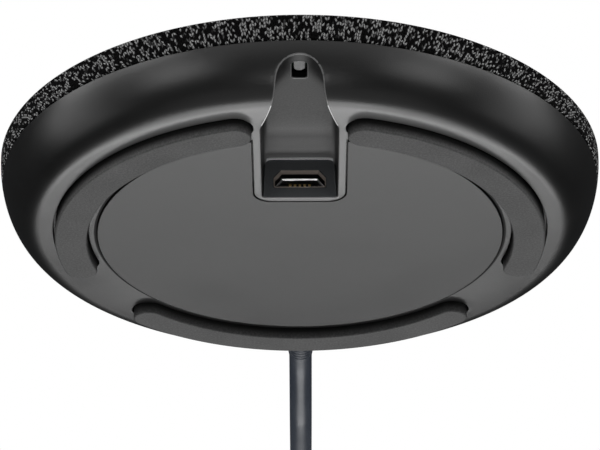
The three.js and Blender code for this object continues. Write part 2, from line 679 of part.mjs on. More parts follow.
// The plug, its end towards +Y.
const plug = new THREE.Group();
plug.position.set(...PLUG_AT, PLUG_Z);
model.add(plug);
const [plugWide, plugLong, plugHigh] = PLUG_BODY;
const bodyEnd = PLUG_NECK + plugLong;
const neckEnd = PLUG_NECK + 1;
const neck = turned([[0, 0], [2.5, 0], [3.4, neckEnd], [0, neckEnd]], SMALL).rotateX(-Math.PI / 2);
add('plug_body', carve(along(roundedRect(plugWide, plugHigh, 2), [PLUG_NECK, bodyEnd]), {
  joined: [neck],
}), darkRubber, plug);
const [shellWide, shellLong, shellHigh] = PLUG_SHELL;
const shellStart = bodyEnd + GAP;
const shellEnd = shellStart + shellLong;
const centred = (size) => [-size / 2, size / 2];
const boreWide = shellWide - 2 * PLUG_SHELL_WALL;
const boreHigh = shellHigh - 2 * PLUG_SHELL_WALL;
add('plug_shell', carve(block(centred(shellWide), [shellStart, shellEnd], centred(shellHigh)), {
  cut: [block(centred(boreWide), [shellStart + 0.6, shellEnd + 1], centred(boreHigh))],
}), steel, plug);
const tongueAcross = [-PLUG_TONGUE_HALF, PLUG_TONGUE_HALF];
const plugTongue = block(tongueAcross, [shellStart + 0.9, shellEnd - 1], PLUG_TONGUE_Z);
add('plug_tongue', plugTongue, lightPlastic, plug);

export default model;
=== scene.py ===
# A round table-top conference speakerphone, seen from underneath: knitted cover, satin casing, rubber feet,
# charging port in its recess, and the captive lead at the back. Metres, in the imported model's frame.
import math

import bmesh
import bpy
from mathutils import Matrix, Vector


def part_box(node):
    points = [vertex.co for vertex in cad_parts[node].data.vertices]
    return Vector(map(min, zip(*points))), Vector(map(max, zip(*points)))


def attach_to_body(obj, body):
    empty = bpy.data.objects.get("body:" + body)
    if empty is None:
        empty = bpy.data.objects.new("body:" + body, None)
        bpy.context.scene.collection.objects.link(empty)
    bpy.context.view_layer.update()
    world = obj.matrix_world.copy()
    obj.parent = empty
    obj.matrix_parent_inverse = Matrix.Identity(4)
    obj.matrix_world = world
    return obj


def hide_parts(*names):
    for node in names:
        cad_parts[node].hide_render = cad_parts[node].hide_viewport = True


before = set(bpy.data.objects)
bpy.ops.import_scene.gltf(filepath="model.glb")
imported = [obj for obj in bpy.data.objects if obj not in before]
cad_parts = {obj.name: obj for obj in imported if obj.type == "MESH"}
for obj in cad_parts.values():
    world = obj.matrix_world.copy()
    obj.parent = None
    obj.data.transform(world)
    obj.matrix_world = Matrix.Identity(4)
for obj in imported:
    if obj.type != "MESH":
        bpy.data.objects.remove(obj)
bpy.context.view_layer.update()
MM = 0.001
TURN = 2 * math.pi

# ---- Driving dimensions, in millimetres ----
BODY_RADIUS, BELLY_Z = 51, 14.48  # the widest point
BASE_RADIUS, BASE_Z = 43.65, 1.87  # edge and height of the flat underside
DOME_RADIUS, DOME_RISE, DOME_POWER = 24.9, 6.69, 2 / 1.38
DOME_TOP_Z = 21.5
SEAM_Z = 10.27  # fabric above, casing below
SKIN = 0.6
PLATE_RADIUS, PLATE_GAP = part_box("bottom_plate")[1].x / MM, 0.16
PAD_INNER, PAD_OUTER, PAD_GAP = 36, 41.4, 0.35
SIDE_PAD_ENDS = (13.8, -74.5)
REAR_PAD_ENDS = (133.8, 46.2)
PORT_Y = -14.5
RIM_HALF, RIM_WIDTH, RIM_CORNER = 6.25, 1.29, 3
RECESS_Z, ARCH_Z, ARCH_RADIUS = 8.95, 8.12, 3.75
SHOULDER_Y, SHOULDER_TAPER, SHOULDER_EASE = -37.2, 0.33, 0.0088
RIM_Z, RIM_ROUND = 1.62, 0.14
RIM_BACK_Y = -36  # back end of the rim round the port
RIM_CLIMB_Y = -35  # the rim climbs to the underside from here
SLOT_SECTION, SLOT_Y = (1.22, 2.65, 0.55), -44.85  # retaining slot: half width, half length, corner; its middle
TONGUE_Z = 8.25
USB_Z, USB_HALF, USB_HEIGHT = 5.2, 4.05, 2.6
USB_CHAMFER, USB_CHAMFER_HIGH = 1.1, 1.3
ISLAND_RADIUS, WELL_RADIUS = 19, 18.1
MUTE_RADIUS = 8.6
KEY_RING = (9, 16.6)
KEY_SPLIT = 0.5
STEM_AT = 12.8  # radius of the ring keys' stems and symbols
CORD = 4.2
EXIT_Z = 6.8
COIL_CENTRE = (-17, 143)
COIL_OUTER_TURN, COIL_PITCH, COIL_TURNS = 32.1, 4.35, 7
COIL_LAYERS = (3.25, 7.5)  # heights of the two layers of turns


# ---- Mesh helpers ----
def piece(name, vertices, faces, material, body="base", slot=None, replaces=(), smooth=30):
    mesh = bpy.data.meshes.new(name)
    mesh.from_pydata([tuple(c * MM for c in v) for v in vertices], [], faces)
    bm = bmesh.new()
    bm.from_mesh(mesh)
    bmesh.ops.recalc_face_normals(bm, faces=bm.faces)
    bm.to_mesh(mesh)
    bm.free()
    obj = bpy.data.objects.new(name, mesh)
    bpy.context.scene.collection.objects.link(obj)
    mesh.materials.append(material)
    if body:
        settle(obj, body, replaces, smooth)
    return obj


def settle(obj, body, replaces=(), smooth=30):
    """Smooth shading up to an angle, and the piece's place in the frame."""
    obj.data.shade_smooth()
    obj.data.set_sharp_from_angle(angle=math.radians(smooth))
    shading = obj.modifiers.new("shading", "WEIGHTED_NORMAL")
    shading.keep_sharp = True
    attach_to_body(obj, body)
    if replaces:
        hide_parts(*replaces)
    return obj


def join_rings(rings, closed=False, caps=True):
    """Faces between equal rings of points, laid out one after another."""
    count = len(rings[0])
    vertices = [p for ring in rings for p in ring]
    faces = []
    last = len(rings) if closed else len(rings) - 1
    for r in range(last):
        a, b = r * count, ((r + 1) % len(rings)) * count
        faces += [(a + i, a + (i + 1) % count, b + (i + 1) % count, b + i) for i in range(count)]
    if caps and not closed:
        faces += [tuple(range(count)), tuple(range(count * (len(rings) - 1), count * len(rings)))]
    return vertices, faces


def circle(radius, z, segments, centre=(0, 0)):
    return [(centre[0] + radius * math.cos(TURN * i / segments), centre[1] + radius * math.sin(TURN * i / segments), z)
            for i in range(segments)]


def revolved(profile, segments=96, closed=False):
    return join_rings([circle(max(r, 0.001), z, segments) for r, z in profile], closed)


def arc(centre, radius, start, end, steps):
    """Points of an arc between two angles in degrees."""
    angles = [math.radians(start + (end - start) * i / steps) for i in range(steps + 1)]
    return [(centre[0] + radius * math.cos(a), centre[1] + radius * math.sin(a)) for a in angles]


def grown(outline, distance):
    """A closed outline that runs anticlockwise, moved outwards."""
    out = []
    for i, here in enumerate(outline):
        p, q, s = Vector(outline[i - 1]), Vector(here), Vector(outline[(i + 1) % len(outline)])
        a, b = (q - p).normalized(), (s - q).normalized()
        na, nb = Vector((a.y, -a.x)), Vector((b.y, -b.x))
        out.append(q + (na + nb) * (distance / max(1 + na.dot(nb), 0.4)))
    return [tuple(p) for p in out]


def anticlockwise(outline):
    area = sum(a[0] * b[1] - b[0] * a[1] for a, b in zip(outline, outline[1:] + outline[:1]))
    return outline if area > 0 else outline[::-1]


def slab(outline, low, high, low_round=0.0, high_round=0.0, steps=4):
    """A flat outline extruded from low to high, its edges rounded. A negative rounding flares outwards."""
    outline = anticlockwise(outline)
    levels = []
    for z, size, side in ((low, low_round, 1), (high, high_round, -1)):
        quarter = [math.radians(90 * i / steps) for i in range(steps + 1)] if size else [math.pi / 2]
        curve = [(-size * (1 - math.sin(t)), z + side * abs(size) * (1 - math.cos(t))) for t in quarter]
        levels += curve if side > 0 else curve[::-1]
    rings = [[(x, y, z) for x, y in grown(outline, offset)] for offset, z in levels]
    return join_rings(rings)


def moved(shape, matrix):
    vertices, faces = shape
    return [tuple(matrix @ Vector(v)) for v in vertices], faces


def merged(shapes):
    vertices, faces = [], []
    for more, extra in shapes:
        start = len(vertices)
        vertices += more
        faces += [tuple(start + i for i in face) for face in extra]
    return vertices, faces


def upright(shape):
    """A slab drawn in X and Z, so that it runs along Y from -high to -low."""
    return moved(shape, Matrix.Rotation(math.pi / 2, 4, "X"))


def carve(base, joined=(), cut=()):
    """Exact booleans on a piece that isn't placed yet."""
    for operation, shapes in (("UNION", joined), ("DIFFERENCE", cut)):
        for n, shape in enumerate(shapes):
            shape, material = shape if isinstance(shape[1], bpy.types.Material) else (shape, base.data.materials[0])
            tool = piece(f"tool_{n}", *shape, material, body=None)
            change = base.modifiers.new("carve", "BOOLEAN")
            change.operation, change.solver, change.object = operation, "EXACT", tool
            change.material_mode = "TRANSFER"
            applied = bpy.data.meshes.new_from_object(base.evaluated_get(bpy.context.evaluated_depsgraph_get()))
            base.modifiers.clear()
            base.data = applied
            bpy.data.objects.remove(tool)
    return base


# ---- Camera: below the front edge, looking up at the underside ----
CAMERA_PLACE = (0, -0.4734, -0.2440)
CAMERA_RISE, CAMERA_ROLL = math.radians(27.66), math.radians(-0.229)
LENS = 188.9


def add_camera():
    forward = Vector((0, math.cos(CAMERA_RISE), math.sin(CAMERA_RISE)))
    level = Vector((1, 0, 0))
    upward = level.cross(forward)
    right = math.cos(CAMERA_ROLL) * level + math.sin(CAMERA_ROLL) * upward
    top = math.cos(CAMERA_ROLL) * upward - math.sin(CAMERA_ROLL) * level
    camera = bpy.data.objects.new("camera", bpy.data.cameras.new("camera"))
    camera.data.lens = LENS
    camera.data.sensor_width = 36
    camera.data.clip_start = 0.01
    camera.matrix_world = Matrix.Translation(CAMERA_PLACE) @ Matrix((right, top, -forward)).transposed().to_4x4()
    bpy.context.scene.collection.objects.link(camera)
    bpy.context.scene.camera = camera


add_camera()


# ---- Materials ----
class Paint:
    """A node material being built: add() makes a node, and link() joins two sockets."""

    def __init__(self, name):
        self.material = bpy.data.materials.new(name)
        self.material.use_nodes = True
        self.tree = self.material.node_tree
        self.shader = self.tree.nodes["Principled BSDF"]
        self.coordinates = self.add("ShaderNodeTexCoord")

    def add(self, kind, **settings):
        node = self.tree.nodes.new(kind)
        for key, value in settings.items():
            if hasattr(node, key):
                setattr(node, key, value)
            else:
                node.inputs[key.replace("_", " ")].default_value = value
        return node

    def link(self, source, target):
        self.tree.links.new(source, target)

    def set(self, **values):
        for key, value in values.items():
            self.shader.inputs[key.replace("_", " ")].default_value = value

    def math(self, operation, a, b=None, c=None):
        node = self.add("ShaderNodeMath", operation=operation)
        for socket, value in zip(node.inputs, (a, b, c)):
            if value is None:
                continue
            if isinstance(value, (int, float)):
                socket.default_value = value
            else:
                self.link(value, socket)
        return node.outputs[0]

    def noise(self, scale, detail=3.0, roughness=0.5, stretch=None, space="Object"):
        node = self.add("ShaderNodeTexNoise", Scale=scale, Detail=detail, Roughness=roughness)
        source = self.coordinates.outputs[space]
        if stretch:
            mapping = self.add("ShaderNodeMapping", Scale=stretch)
            self.link(source, mapping.inputs["Vector"])
            source = mapping.outputs["Vector"]
        self.link(source, node.inputs["Vector"])
        return node.outputs["Fac"]

    def spread(self, value, low, high, start=0.3, end=0.7):
        node = self.add("ShaderNodeMapRange")
        for key, number in (("From Min", start), ("From Max", end), ("To Min", low), ("To Max", high)):
            node.inputs[key].default_value = number
        self.link(value, node.inputs["Value"])
        return node.outputs["Result"]

    def blend(self, factor, first, second):
        node = self.add("ShaderNodeMix", data_type="RGBA")
        self.link(factor, node.inputs[0])
        for socket, value in ((node.inputs[6], first), (node.inputs[7], second)):
            if isinstance(value, tuple):
                socket.default_value = (*value, 1)
            else:
                self.link(value, socket)
        return node.outputs[2]

    def bump(self, height, distance, strength=1.0, under=None):
        node = self.add("ShaderNodeBump", Strength=strength, Distance=distance)
        self.link(height, node.inputs["Height"])
        if under:
            self.link(under, node.inputs["Normal"])
        return node.outputs["Normal"]

    def finish(self, color=None, roughness=None, normal=None):
        for value, key in ((color, "Base Color"), (roughness, "Roughness"), (normal, "Normal")):
            if value is not None:
                self.link(value, self.shader.inputs[key])
        return self.material


def grey(level, blue=0.0):
    """A linear grey, a little cooler or warmer."""
    return (level * (1 - blue), level, level * (1 + blue))


def between(paint, axis, start, end):
    """0 to 1 between two places, in millimetres, along an axis of the object."""
    axes = paint.add("ShaderNodeSeparateXYZ")
    paint.link(paint.coordinates.outputs["Object"], axes.inputs["Vector"])
    return paint.spread(axes.outputs[axis], 0, 1, start * MM, end * MM)


def near_axis(paint, centre, start, end):
    """1 to 0 between two distances, in millimetres, from an upright axis."""
    offset = paint.add("ShaderNodeVectorMath", operation="MULTIPLY_ADD")
    offset.inputs[1].default_value = (1, 1, 0)
    offset.inputs[2].default_value = (-centre[0] * MM, -centre[1] * MM, 0)
    paint.link(paint.coordinates.outputs["Object"], offset.inputs[0])
    distance = paint.add("ShaderNodeVectorMath", operation="LENGTH")
    paint.link(offset.outputs["Vector"], distance.inputs[0])
    return paint.spread(distance.outputs["Value"], 1, 0, start * MM, end * MM)


def painted_land_highlight(paint, color):
    """Painted highlight: the flat land of the underside is a little lighter, most of all round the port."""
    low = between(paint, "Z", BASE_Z + 1.2, BASE_Z + 0.5)
    land = paint.math("MULTIPLY", low, near_axis(paint, (0, 0), BASE_RADIUS - 0.2, BASE_RADIUS + 1.8))
    tone = paint.blend(near_axis(paint, (0, RIM_CLIMB_Y), 16, 42), grey(0.012), grey(0.1))
    return paint.blend(land, color, tone)


def gap_shade_mask(paint):
    """1 on the edge of the casing right round the bottom plate, apart from the rim at the port: where the gap's
    painted shade goes.
    """
    edge = PLATE_RADIUS + PLATE_GAP
    within = near_axis(paint, (0, 0), edge + 0.3, edge + 0.5)
    inner = paint.math("SUBTRACT", 1.0, near_axis(paint, (0, 0), edge - 1, edge - 0.8))
    away = paint.math("SUBTRACT", 1.0, near_axis(paint, (0, RIM_CLIMB_Y), 9.5, 10.5))
    return paint.math("MULTIPLY", within, paint.math("MULTIPLY", inner, away))


def moulded(name, tone, roughness, grain=1 / (0.22 * MM), depth=0.012, contrast=0.10, metallic=0.0, specular=0.5,
            land=False, recess=False):
    """Moulded surface with grain and slow drift; land adds a painted highlight on the flat underside and nearly black
    painted shade round the plate, recess a painted light towards the port and painted shade lower down.
    """
    paint = Paint(name)
    fine = paint.noise(grain, 2, 0.6)
    slow = paint.noise(70, 3)
    mixed = paint.math("ADD", paint.math("MULTIPLY", fine, 0.7), paint.math("MULTIPLY", slow, 0.3))
    dark, light = (tuple(c * k for c in tone) for k in (1 - contrast, 1 + contrast))
    color = paint.blend(paint.spread(mixed, 0, 1), dark, light)
    gloss = paint.spread(slow, roughness - 0.03, roughness + 0.04)
    if land:
        # Painted shade, nearly black, in the gap round the bottom plate, over the land's painted highlight.
        shaded = gap_shade_mask(paint)
        color = paint.blend(shaded, painted_land_highlight(paint, color), grey(0.001))
        gloss = paint.math("MULTIPLY_ADD", shaded, 0.6, gloss)
    if recess:
        # Painted light: the recess grows much lighter towards the port wall.
        near_port = paint.math("POWER", between(paint, "Y", -31, -15), 2.0)
        color = paint.blend(near_port, color, grey(0.34))
        # Painted shade: the recess walls darken lower down.
        color = paint.blend(between(paint, "Z", 8.6, 7.6), color, grey(0.012))
    paint.set(Metallic=metallic, Specular_IOR_Level=specular)
    return paint.finish(color, gloss, paint.bump(fine, depth * MM))


def speckled(name, tone, light, roughness, size=0.35, depth=0.03, shade_heights=None):
    """Rubber with fine light specks; shade_heights is the pair of heights between which painted shade turns it nearly
    black.
    """
    paint = Paint(name)
    specks = paint.noise(1 / (size * MM), 4, 0.7)
    slow = paint.noise(110, 3)
    color = paint.blend(paint.spread(specks, 0, 1, 0.42, 0.7), tone, light)
    if shade_heights:
        # Painted shade: nearly black higher up the pad's walls.
        color = paint.blend(between(paint, "Z", *shade_heights), color, grey(0.001))
        paint.set(Specular_IOR_Level=0.25)
    gloss = paint.spread(slow, roughness - 0.05, roughness + 0.05)
    return paint.finish(color, gloss, paint.bump(specks, depth * MM))


def brushed(name, tone, roughness, stretch=(1, 14, 1)):
    """Metal with fine drawn lines and a few stains."""
    paint = Paint(name)
    lines = paint.noise(900, 3, 0.6, stretch)
    stains = paint.noise(260, 4)
    color = paint.blend(paint.spread(stains, 0, 1), tuple(c * 0.82 for c in tone), tone)
    gloss = paint.spread(lines, roughness - 0.08, roughness + 0.1)
    paint.set(Metallic=1.0)
    return paint.finish(color, gloss, paint.bump(lines, 0.004 * MM))


def knit():
    """Jersey knit of black and light grey yarn: each stitch is a V of two legs, each leg black or grey."""
    wale, course, slant = 0.8, 0.58, 1.1
    paint = Paint("fabric_knit")
    wobble = paint.add("ShaderNodeTexNoise", Scale=0.9, Detail=2.0)
    scaled = paint.add("ShaderNodeMapping", Scale=(1000, 1000, 1000))
    paint.link(paint.coordinates.outputs["UV"], scaled.inputs["Vector"])
    paint.link(scaled.outputs["Vector"], wobble.inputs["Vector"])
    shift = paint.add("ShaderNodeVectorMath", operation="MULTIPLY_ADD")
    shift.inputs[1].default_value = (0.5, 0.5, 0)
    paint.link(wobble.outputs["Color"], shift.inputs[0])
    paint.link(scaled.outputs["Vector"], shift.inputs[2])
    axes = paint.add("ShaderNodeSeparateXYZ")
    paint.link(shift.outputs["Vector"], axes.inputs["Vector"])
    across = paint.math("DIVIDE", axes.outputs["X"], wale)
    bent = paint.math("ABSOLUTE", paint.math("SUBTRACT", paint.math("FRACT", across), 0.5))
    up = paint.math("MULTIPLY_ADD", bent, slant, paint.math("DIVIDE", axes.outputs["Y"], course))
    leg = paint.math("MULTIPLY", across, 2.0)
    cell = paint.add("ShaderNodeCombineXYZ")
    paint.link(paint.math("FLOOR", leg), cell.inputs["X"])
    paint.link(paint.math("FLOOR", up), cell.inputs["Y"])
    chance = paint.add("ShaderNodeTexWhiteNoise", noise_dimensions="2D")
    paint.link(cell.outputs["Vector"], chance.inputs["Vector"])
    drift = paint.add("ShaderNodeTexNoise", Scale=0.3, Detail=2.0)
    paint.link(cell.outputs["Vector"], drift.inputs["Vector"])
    pick = paint.math("ADD", chance.outputs["Value"], paint.math("MULTIPLY", drift.outputs["Fac"], 0.12))
    light = paint.spread(pick, 0, 1, 0.6, 0.8)
    round_across = paint.math("SINE", paint.math("MULTIPLY", paint.math("FRACT", leg), math.pi))
    round_along = paint.math("SINE", paint.math("MULTIPLY", paint.math("FRACT", up), math.pi))
    height = paint.math("MULTIPLY", paint.math("POWER", round_across, 0.7), paint.math("POWER", round_along, 0.5))
    fibres = paint.noise(5200, 3, 0.6, space="UV")
    shade = paint.spread(height, 0.1, 1, 0.25, 0.8)
    yarn = paint.blend(light, grey(0.003, 0.02), grey(0.38))
    flecked = paint.blend(paint.spread(fibres, 0, 0.4), yarn, grey(0.006))
    # Painted shade: nearly black in the hollows between the yarn legs.
    color = paint.blend(shade, grey(0.001), flecked)
    normal = paint.bump(height, 0.22 * MM, 1.0, paint.bump(fibres, 0.03 * MM, 0.6))
    paint.set(Roughness=0.9, Sheen_Weight=0.01, Sheen_Roughness=0.5, Specular_IOR_Level=0.04)
    return paint.finish(color, None, normal)


# land=True adds the painted highlight on the flat underside and the nearly black painted shade in the plate's gap.
casing_plastic = moulded("casing_plastic", grey(0.006), 0.32, depth=0.012, land=True)
# Far lighter than the casing plastic: painted light on the recess's ceiling.
recess_plastic = moulded("recess_plastic", grey(0.038), 0.42, 1 / (0.3 * MM), 0.02, 0.45, specular=0.2, recess=True)
# Painted highlight along the rounded edges of the recess, slot and port.
highlight_edge = moulded("highlight_edge", grey(0.12), 0.3)
# Near white painted highlight on the port's fillet and the recess's shoulders.
fillet_highlight = moulded("fillet_highlight", grey(0.8), 0.3)
# Light brown trim round the port's mouth: its own tone, lightened as a painted highlight on the opening's edge.
mouth_trim_highlight = moulded("mouth_trim_highlight", (0.5, 0.43, 0.38), 0.4)
plate_plastic = moulded("plate_plastic", grey(0.023), 0.34, depth=0.006, specular=0.32)
port_plastic = moulded("port_plastic", grey(0.10, 0.05), 0.45, specular=0.3)
key_plastic = moulded("key_plastic", grey(0.014), 0.5)
bezel_plastic = moulded("bezel_plastic", grey(0.020), 0.42, depth=0.006)
frame_plastic = moulded("frame_plastic", grey(0.022), 0.6)
chip_plastic = moulded("chip_plastic", grey(0.010), 0.55)
plug_plastic = moulded("plug_plastic", grey(0.030, 0.05), 0.45)
light_plastic = moulded("light_plastic", (0.72, 0.78, 0.74), 0.3)
contact_holder = moulded("contact_holder", grey(0.006), 0.5)
icon_paint = moulded("icon_paint", grey(0.62), 0.5)
call_paint = moulded("call_paint", (0.03, 0.42, 0.09), 0.5)
end_paint = moulded("end_paint", (0.55, 0.025, 0.02), 0.5)
# The pads' walls get painted shade, nearly black from 0.35 mm up to 1.5 mm.
pad_rubber = speckled("pad_rubber", grey(0.045), grey(0.085), 0.6, shade_heights=(0.35, 1.5))
dark_rubber = speckled("dark_rubber", grey(0.014), grey(0.03), 0.6)
boot_rubber = speckled("boot_rubber", grey(0.02), grey(0.04), 0.8)
cone_paper = speckled("cone_paper", grey(0.012), grey(0.05), 0.85, 0.8)
cord_jacket = speckled("cord_jacket", (0.030, 0.036, 0.048), (0.037, 0.045, 0.058), 0.42, 0.8, 0.01)
tie_fabric = speckled("tie_fabric", grey(0.010), grey(0.07), 0.95, 0.25, 0.12)
circuit_board = speckled("circuit_board", (0.012, 0.075, 0.03), (0.03, 0.14, 0.06), 0.4, 1.5)
steel = brushed("steel", grey(0.62), 0.3)
connector_steel = brushed("connector_steel", grey(0.60), 0.32)
port_steel = brushed("port_steel", grey(0.80), 0.36)
zinc = brushed("zinc", grey(0.42), 0.45)
copper = brushed("copper", (0.75, 0.36, 0.18), 0.35, (1, 1, 20))
gold = brushed("gold", (1.0, 0.76, 0.32), 0.45)
cover_knit = knit()


# ---- The body's outline, as (radius, z) ----
def belly_point(angle):
    return (BASE_RADIUS + (BODY_RADIUS - BASE_RADIUS) * math.cos(angle),
            BELLY_Z - (BELLY_Z - BASE_Z) * math.sin(angle))


def belly_angle(z):
    return math.asin((BELLY_Z - z) / (BELLY_Z - BASE_Z))


def shoulder_point(angle):
    return (DOME_RADIUS + (BODY_RADIUS - DOME_RADIUS) * math.cos(angle) ** DOME_POWER,
            BELLY_Z + DOME_RISE * math.sin(angle) ** DOME_POWER)


def stretch(point, start, end, steps):
    return [point(start + (end - start) * i / steps) for i in range(steps + 1)]


def inset(points, distance):
    out = []
    for i, (r, z) in enumerate(points):
        (r0, z0), (r1, z1) = points[max(i - 1, 0)], points[min(i + 1, len(points) - 1)]
        length = math.hypot(r1 - r0, z1 - z0)
        out.append((r - (z1 - z0) / length * distance, z + (r1 - r0) / length * distance))
    return out


# ---- Captive lead: out of the relief, down to the table, twice round the coil's layers, and over to the plug ----
LEAD = [
    (0, 56, 6.8), (0, 60, 6.5), (0, 63.5, 5.65), (0, 66.8, 4.45), (0, 70.2, 3.2), (0, 73.7, 2.4),
    (0, 77.5, 2.15), (0, 84, 2.15), (0, 92, 2.15), (0, 101, 2.15), (0.45, 106.4, 2.35), (1.7, 111.8, 2.75),
    (4.2, 117.2, 3.1),
]
TAIL = [
    (-8, 110.9, 7.5), (0.8, 110.9, 7.5), (6, 110.9, 6.95), (11, 111.2, 5.6), (16, 112.3, 3.9), (21, 114.3, 2.65),
    (25.8, 117.3, 2.15), (30, 121.2, 2.15), (33.1, 125.6, 2.5), (35.2, 130.6, 3.3), (35.9, 134.2, 3.8),
    (36, 137.2, 4.05),
]
COIL_START, COIL_END = -40, -90  # degrees round the coil where the lead joins it and leaves it
CLIMB = 60  # degrees that the cord takes to climb from one layer to the next


def coil_points():
    whole = 360 * COIL_TURNS + COIL_END - COIL_START
    steps = round(whole / 20)
    out = []
    for i in range(steps + 1):
        done = whole * i / steps
        angle = math.radians(COIL_START + done)
        radius = COIL_OUTER_TURN - COIL_PITCH * min(done, whole - done) / 360
        rise = min(max((done - (whole - CLIMB) / 2) / CLIMB, 0), 1)
        low, high = COIL_LAYERS
        z = low + (high - low) * rise * rise * (3 - 2 * rise)
        out.append((COIL_CENTRE[0] + radius * math.cos(angle), COIL_CENTRE[1] + radius * math.sin(angle), z))
    return out


def add_cord():
    data = bpy.data.curves.new("captive_lead", "CURVE")
    data.dimensions = "3D"
    data.resolution_u = 6
    data.bevel_depth = CORD / 2 * MM
    data.bevel_resolution = 5
    data.use_fill_caps = True
    points = LEAD + coil_points() + TAIL
    spline = data.splines.new("BEZIER")
    spline.bezier_points.add(len(points) - 1)
    for knot, place in zip(spline.bezier_points, points):
        knot.co = Vector(place) * MM
        knot.handle_left_type = knot.handle_right_type = "AUTO"
    data.materials.append(cord_jacket)
    lead = bpy.data.objects.new("captive_lead", data)
    bpy.context.scene.collection.objects.link(lead)
    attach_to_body(lead, "base")
    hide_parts("cord_lead", "cord_coil", "cord_tail")
    return lead


captive_lead = add_cord()


# ---- Strain relief: collar, ribs and taper ----
def add_relief():
    near, wall = 44.7, 49.3
    profile = [(0, near), (3.1, near), (3.1, 45.6), (2.6, 45.7), (2.6, wall)]
    ribs, first, pitch = 5, 49.8, 1.15
    for i in range(ribs):
        y = first + pitch * i
        full = 2.5 - 0.06 * i
        profile += [(full - 0.14, y), (full, y + 0.22), (full, y + 0.62), (full - 0.14, y + 0.84)]
    profile += [(2.2, 55.6), (2.15, 56), (CORD / 2 + 0.02, 56), (0, 55.7)]
    shape = revolved(profile, 48)
    place = Matrix.Translation((0, 0, EXIT_Z)) @ Matrix.Rotation(-math.pi / 2, 4, "X")
    return piece("strain_relief_sleeve", *moved(shape, place), cord_jacket, slot="dark_rubber",
                 replaces=["strain_relief"])


relief = add_relief()


# ---- Plug ----
def rounded_section(half_wide, half_high, corner, steps=8):
    """A rounded rectangle in X and Z about the origin."""
    w, h = half_wide - corner, half_high - corner
    return (arc((w, -h), corner, -90, 0, steps) + arc((w, h), corner, 0, 90, steps)
            + arc((-w, h), corner, 90, 180, steps) + arc((-w, -h), corner, 180, 270, steps))


plug_low, plug_high = (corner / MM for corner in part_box("plug_body"))
PLUG_X, PLUG_Z = (plug_low.x + plug_high.x) / 2, (plug_low.z + plug_high.z) / 2
PLUG_HALF, PLUG_HIGH = (plug_high.x - plug_low.x) / 2, (plug_high.z - plug_low.z) / 2
NECK = 6.5


def add_plug_body():
    sections = [
        (0, 2.3, 2.3, 2.29), (0.15, 2.5, 2.5, 2.49), (1.2, 2.6, 2.6, 2.59), (1.4, 2.35, 2.35, 2.34),
        (1.9, 2.35, 2.35, 2.34), (2.1, 2.75, 2.75, 2.74), (3.0, 2.85, 2.85, 2.84), (3.2, 2.6, 2.6, 2.59),
        (3.7, 2.6, 2.6, 2.59), (3.9, 3.0, 3.0, 2.99), (4.9, 3.15, 3.1, 3.05), (5.8, 3.7, 3.3, 2.9),
        (6.5, 5.0, 3.5, 2.7), (7.3, 6.4, 3.7, 2.6), (8.6, 7.2, 3.82, 2.5), (10.5, 7.6, 3.9, 2.4),
    ]
    for rib in range(5):
        y = 12.2 + 1.7 * rib
        for step, dip in ((0, 0), (0.25, 0.28), (0.75, 0.28), (1.0, 0)):
            sections.append((y + step, PLUG_HALF - dip, PLUG_HIGH - dip, 2.3))
    end = plug_high.y - plug_low.y
    sections += [(end - 3, PLUG_HALF, PLUG_HIGH, 2.2), (end - 0.5, PLUG_HALF - 0.1, PLUG_HIGH - 0.1, 2.1),
                 (end - 0.12, PLUG_HALF - 0.3, PLUG_HIGH - 0.3, 2), (end, PLUG_HALF - 0.7, PLUG_HIGH - 0.7, 1.7)]
    rings = [[(PLUG_X + x, plug_low.y + y, PLUG_Z + z) for x, z in rounded_section(wide, high, corner)]
             for y, wide, high, corner in sections]
    return piece("plug_grip", *join_rings(rings), plug_plastic, slot="plug_plastic", replaces=["plug_body"])


def add_plug_shell():
    low, high = (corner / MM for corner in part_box("plug_shell"))
    half, tall = (high.x - low.x) / 2, (high.z - low.z) / 2
    middle = Matrix.Translation((PLUG_X, 0, PLUG_Z))
    outer = rounded_section(half, tall, 0.6)
    inner = rounded_section(half - 0.35, tall - 0.35, 0.3)
    levels = [(inner, low.y + 0.6), (inner, high.y - 0.15), (grown(inner, 0.12), high.y), (grown(outer, -0.1), high.y),
              (outer, high.y - 0.12), (outer, low.y)]
    rings = [[(x, y, z) for x, z in outline] for outline, y in levels]
    shell = piece("plug_sleeve", *moved(join_rings(rings), middle), connector_steel, body=None)
    windows = []
    for side in (-1, 1):
        for face in (-1, 1):
            x, y, z = side * 2.55, low.y + 6.2, face * (tall - 0.2)
            square = rounded_section(1.15, 1.25, 0.2, 3)
            windows.append(moved(slab([(x + a, y + b) for a, b in square], z - 0.5, z + 0.5), middle))
    carve(shell, cut=windows)
    return settle(shell, "base", ["plug_shell"])


def add_plug_tongue():
    low, high = (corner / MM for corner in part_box("plug_tongue"))
    outline = [(low.x, low.y), (high.x, low.y), (high.x, high.y), (low.x, high.y)]
    tongue = piece("plug_contact_block", *slab(outline, low.z, high.z, 0.15, 0.15, 3), light_plastic,
                   slot="plug_plastic", replaces=["plug_tongue"])
    contacts = []
    for place, reach in ((-3.5, 0), (-1.05, 1.0), (1.05, 1.0), (3.5, 0)):
        x = PLUG_X + place
        strip = [(x - 0.55, low.y + 1), (x + 0.55, low.y + 1), (x + 0.55, high.y - 0.6 - reach),
                 (x - 0.55, high.y - 0.6 - reach)]
        contacts.append(slab(strip, high.z - 0.02, high.z + 0.12, 0, 0.05, 2))
    vertices, faces = merged(contacts)
    strips = piece("plug_contacts", vertices, faces, gold, slot="connector_steel")
    return [tongue, strips]


plug_pieces = [add_plug_body(), add_plug_shell(), *add_plug_tongue()]


